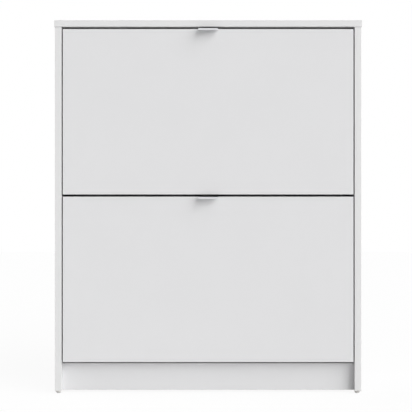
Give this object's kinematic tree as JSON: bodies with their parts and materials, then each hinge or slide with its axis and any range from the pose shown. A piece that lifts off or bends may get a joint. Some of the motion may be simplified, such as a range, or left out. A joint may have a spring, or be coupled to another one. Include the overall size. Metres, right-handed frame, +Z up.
{
  "type": "shoe cabinet",
  "caption": "White shoe cabinet with tilt-out flaps one above the other, small metal lip handles, a recessed plinth and shoe baskets behind the doors.",
  "frame": {"origin": "on the floor, under the middle of the outline that carcass and handles make together", "axes": "+Z up, the doors face -Y, +X to the right for someone who stands in front of the doors"},
  "size_m": [0.702, 0.253, 0.852],
  "materials": {
    "white_melamine": "matt white melamine on particle board, with plastic edge banding",
    "white_hardboard": "white lacquered hardboard, matt",
    "satin_aluminium": "satin",
    "bright_steel": "zinc plated",
    "zinc_casting": "bare die casting",
    "light_grey_plastic": "moulded, finely grained",
    "white_nylon": "moulded, smooth",
    "glide_plastic": "moulded, smooth",
    "dark_rubber": "matt",
    "beech_dowel": "bare"
  },
  "bodies": {
    "cabinet": {"top_panel": "white_melamine", "side_panel_left": "white_melamine", "side_panel_right": "white_melamine", "bottom_panel": "white_melamine", "plinth": "white_melamine", "middle_rail": "white_melamine", "top_rail": "white_melamine", "back_panel": "white_hardboard", "glides": "glide_plastic", "cam_locks": "zinc_casting", "cam_bolts": "bright_steel", "cam_caps": "white_nylon", "wood_dowels": "beech_dowel", "back_nails": "bright_steel", "pivot_pins": "bright_steel", "pivot_washers": "white_nylon", "stop_screws": "bright_steel", "stop_sleeves": "dark_rubber"},
    "upper_flap": {"upper_door": "white_melamine", "upper_handle": "satin_aluminium", "upper_handle_screws": "bright_steel", "upper_frame_left": "light_grey_plastic", "upper_frame_right": "light_grey_plastic", "upper_frame_screws": "bright_steel", "upper_divider": "white_hardboard", "upper_rear_board": "white_hardboard", "upper_front_floor": "white_hardboard", "upper_rear_floor": "white_hardboard"},
    "lower_flap": {"lower_door": "white_melamine", "lower_handle": "satin_aluminium", "lower_handle_screws": "bright_steel", "lower_frame_left": "light_grey_plastic", "lower_frame_right": "light_grey_plastic", "lower_frame_screws": "bright_steel", "lower_divider": "white_hardboard", "lower_rear_board": "white_hardboard", "lower_front_floor": "white_hardboard", "lower_rear_floor": "white_hardboard"}
  },
  "joints": [
    {"name": "upper_flap_tilt", "type": "hinge", "parent": "cabinet", "child": "upper_flap", "pos_m": [0, -0.0865, 0.5345], "axis": [1, 0, 0], "range_deg": [0, 45]},
    {"name": "lower_flap_tilt", "type": "hinge", "parent": "cabinet", "child": "lower_flap", "pos_m": [0, -0.0865, 0.152], "axis": [1, 0, 0], "range_deg": [0, 45]}
  ]
}
